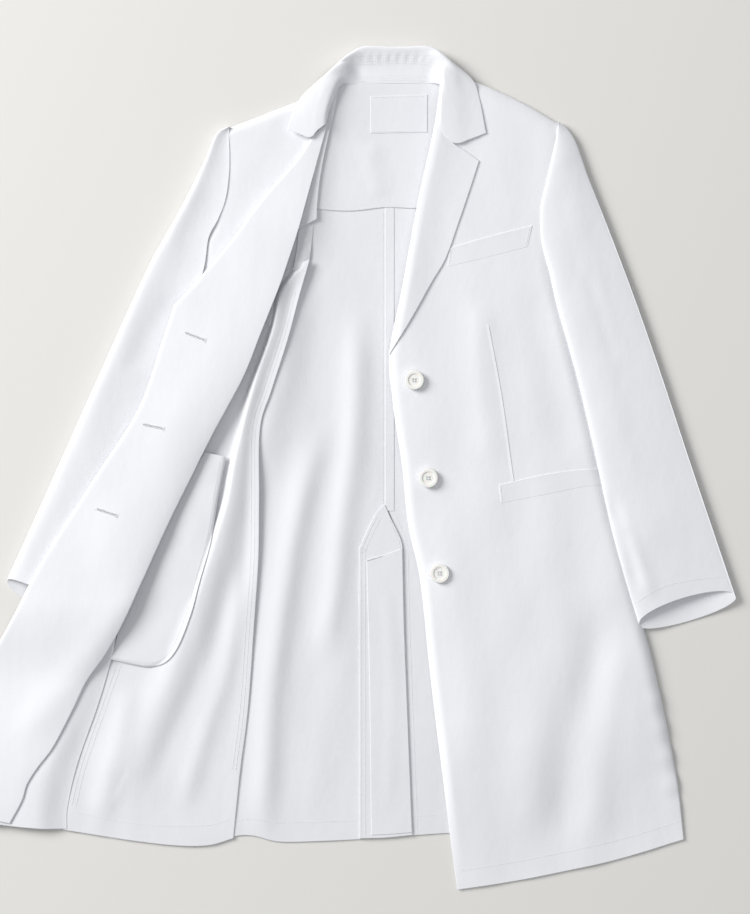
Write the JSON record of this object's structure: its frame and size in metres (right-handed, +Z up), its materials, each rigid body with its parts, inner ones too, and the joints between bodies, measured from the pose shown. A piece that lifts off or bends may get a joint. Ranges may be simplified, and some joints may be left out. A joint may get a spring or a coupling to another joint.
{
  "type": "lab coat",
  "caption": "White knee-length lab coat laid on its back with its right front turned back: notched collar, chest and lower welt pockets, buttoned front, panelled sleeves and a back vent.",
  "frame": {"origin": "on the floor, under the middle of the coat's bounding box", "axes": "+Z up from the floor, +Y from hem to collar, +X towards the wearer's left side"},
  "size_m": [0.945, 0.967, 0.0229],
  "materials": {
    "outer_cloth": "white cotton and polyester twill, pressed, faint sheen",
    "inner_cloth": "same twill seen from its wrong side, matt",
    "interlining_cloth": "matt non-woven interlining",
    "label_tape": "woven satin tape, blank",
    "button_resin": "ivory-white polished resin",
    "sewing_thread": "white polyester sewing thread"
  },
  "bodies": {
    "back_and_collar": {"back_left_panel": "outer_cloth", "back_right_panel": "outer_cloth", "back_yoke_facing": "inner_cloth", "neck_label": "label_tape", "under_collar": "outer_cloth", "collar_interlining": "interlining_cloth", "upper_collar": "outer_cloth", "collar_stand": "inner_cloth", "left_lapel_peak": "outer_cloth", "left_front_side_part": "outer_cloth", "chest_welt": "outer_cloth", "chest_pocket_bag": "inner_cloth", "left_pocket_welt_side_end": "outer_cloth", "right_front_shoulder_part": "outer_cloth"},
    "left_front": {"left_front_panel": "outer_cloth", "left_front_interlining": "interlining_cloth", "left_front_facing": "inner_cloth", "left_lapel": "outer_cloth", "chest_welt_front_end": "outer_cloth", "left_pocket_welt": "outer_cloth", "left_pocket_bag": "inner_cloth"},
    "right_front": {"right_front_panel": "outer_cloth", "right_front_interlining": "interlining_cloth", "right_front_facing": "inner_cloth", "right_lapel": "outer_cloth", "right_pocket_welt": "outer_cloth", "right_pocket_bag": "inner_cloth", "right_pocket_bag_cover": "inner_cloth", "right_side_panel": "inner_cloth"},
    "left_sleeve": {"left_top_sleeve": "outer_cloth", "left_under_sleeve": "outer_cloth"},
    "right_sleeve": {"right_top_sleeve": "outer_cloth", "right_under_sleeve": "outer_cloth"},
    "vent_underlap": {"vent_underlap": "inner_cloth"},
    "button_1": {"button_1": "button_resin", "button_1_thread": "sewing_thread"},
    "button_2": {"button_2": "button_resin", "button_2_thread": "sewing_thread"},
    "button_3": {"button_3": "button_resin", "button_3_thread": "sewing_thread"}
  },
  "joints": [
    {"name": "left_front_open", "type": "hinge", "parent": "back_and_collar", "child": "left_front", "pos_m": [0.265, -0.0155, 0.0175], "axis": [-0.3194, 0.9476, 0], "range_deg": [0, 165]},
    {"name": "right_front_close", "type": "hinge", "parent": "back_and_collar", "child": "right_front", "pos_m": [-0.083, 0.008, 0.0175], "axis": [0.197, 0.9804, 0], "range_deg": [0, 168]},
    {"name": "left_sleeve_swing", "type": "hinge", "parent": "back_and_collar", "child": "left_sleeve", "pos_m": [0.2725, 0.3975, 0.0063], "axis": [0, 0, 1], "range_deg": [0, 35]},
    {"name": "right_sleeve_swing", "type": "hinge", "parent": "back_and_collar", "child": "right_sleeve", "pos_m": [-0.1165, 0.3955, 0.0063], "axis": [0, 0, -1], "range_deg": [0, 35]},
    {"name": "vent_underlap_turn", "type": "hinge", "parent": "back_and_collar", "child": "vent_underlap", "pos_m": [0.041, -0.2525, 0.0044], "axis": [0, -1, 0], "range_deg": [0, 165]},
    {"name": "button_1_turn", "type": "hinge", "parent": "left_front", "child": "button_1", "pos_m": [0.1045, 0.1015, 0.016], "axis": [0, 0, 1], "range_deg": [-45, 45]},
    {"name": "button_2_turn", "type": "hinge", "parent": "left_front", "child": "button_2", "pos_m": [0.1205, -0.0105, 0.016], "axis": [0, 0, 1], "range_deg": [-45, 45]},
    {"name": "button_3_turn", "type": "hinge", "parent": "left_front", "child": "button_3", "pos_m": [0.1335, -0.1195, 0.016], "axis": [0, 0, 1], "range_deg": [-45, 45]}
  ]
}
